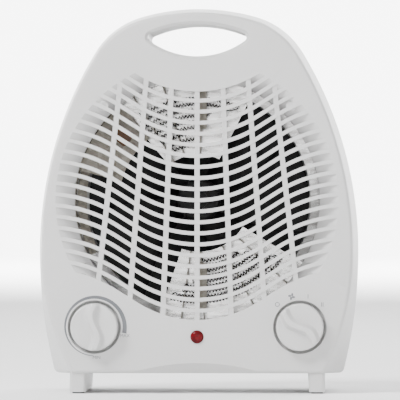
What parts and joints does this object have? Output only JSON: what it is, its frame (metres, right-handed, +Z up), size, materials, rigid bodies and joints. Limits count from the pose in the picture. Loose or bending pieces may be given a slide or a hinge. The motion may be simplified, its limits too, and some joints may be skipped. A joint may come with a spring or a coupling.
{
  "type": "fan heater",
  "caption": "Upright fan heater with a wave-bar grille, carrying handle, thermostat dial, mode dial, pilot lamp, heating wires, fan and motor.",
  "frame": {"origin": "on the floor, under the middle of the heater's bounding box", "axes": "+Z up, -Y towards the grille and the dials, +X to the right as seen from the front"},
  "size_m": [0.2208, 0.1264, 0.2648],
  "materials": {
    "white_plastic": "satin moulded",
    "knob_plastic": "satin moulded",
    "rubber": "matte",
    "black_plastic": "matte",
    "ceramic_block": "matte ceramic look",
    "zinc_steel": "zinc plated",
    "red_lens": "clear red, glossy",
    "clear_glass": "clear",
    "polished_sheet": "polished sheet",
    "mica": "pressed mica board",
    "resistance_wire": "oxidised",
    "orange_plastic": "moulded",
    "core_steel": "laminated",
    "winding_tape": "taped coil",
    "bronze": "sintered",
    "block_plastic": "moulded"
  },
  "bodies": {
    "housing": {"front_cover": "white_plastic", "rear_cover": "white_plastic", "left_foot": "white_plastic", "right_foot": "white_plastic", "left_foot_pads": "rubber", "right_foot_pads": "rubber", "thermostat": "ceramic_block", "rotary_switch": "black_plastic", "dial_nuts": "zinc_steel", "pilot_lens": "red_lens", "pilot_lamp": "clear_glass", "reflector_ring": "polished_sheet", "upper_reflector": "polished_sheet", "lower_reflector": "polished_sheet", "upper_mica_boards": "mica", "lower_mica_boards": "mica", "mica_strips": "mica", "mica_plate": "mica", "mica_lining": "mica", "upper_heating_wire": "resistance_wire", "lower_heating_wire": "resistance_wire", "thermal_cutout": "orange_plastic", "stator": "core_steel", "motor_winding": "winding_tape", "front_bearing_bracket": "zinc_steel", "rear_bearing_bracket": "zinc_steel", "bearings": "bronze", "motor_screws": "zinc_steel", "motor_bracket": "zinc_steel", "ring_screws": "zinc_steel", "bracket_screws": "zinc_steel", "case_screws": "zinc_steel", "foot_screws": "zinc_steel", "terminal_block": "block_plastic", "cord_gland": "black_plastic"},
    "thermostat_dial": {"thermostat_knob": "knob_plastic", "thermostat_spindle": "black_plastic"},
    "switch_dial": {"switch_knob": "knob_plastic", "switch_spindle": "black_plastic"},
    "fan_rotor": {"fan": "black_plastic", "fan_clip": "zinc_steel", "motor_shaft": "zinc_steel", "rotor": "core_steel"}
  },
  "joints": [
    {"name": "thermostat_turn", "type": "hinge", "parent": "housing", "child": "thermostat_dial", "pos_m": [-0.0703, -0.05225, 0.0456], "axis": [0, 1, 0], "range_deg": [-178, 101]},
    {"name": "switch_turn", "type": "hinge", "parent": "housing", "child": "switch_dial", "pos_m": [0.0703, -0.05225, 0.0456], "axis": [0, 1, 0], "range_deg": [0, 90]},
    {"name": "fan_spin", "type": "hinge", "parent": "housing", "child": "fan_rotor", "pos_m": [0, -0.00325, 0.1324], "axis": [0, 1, 0], "continuous": true}
  ]
}
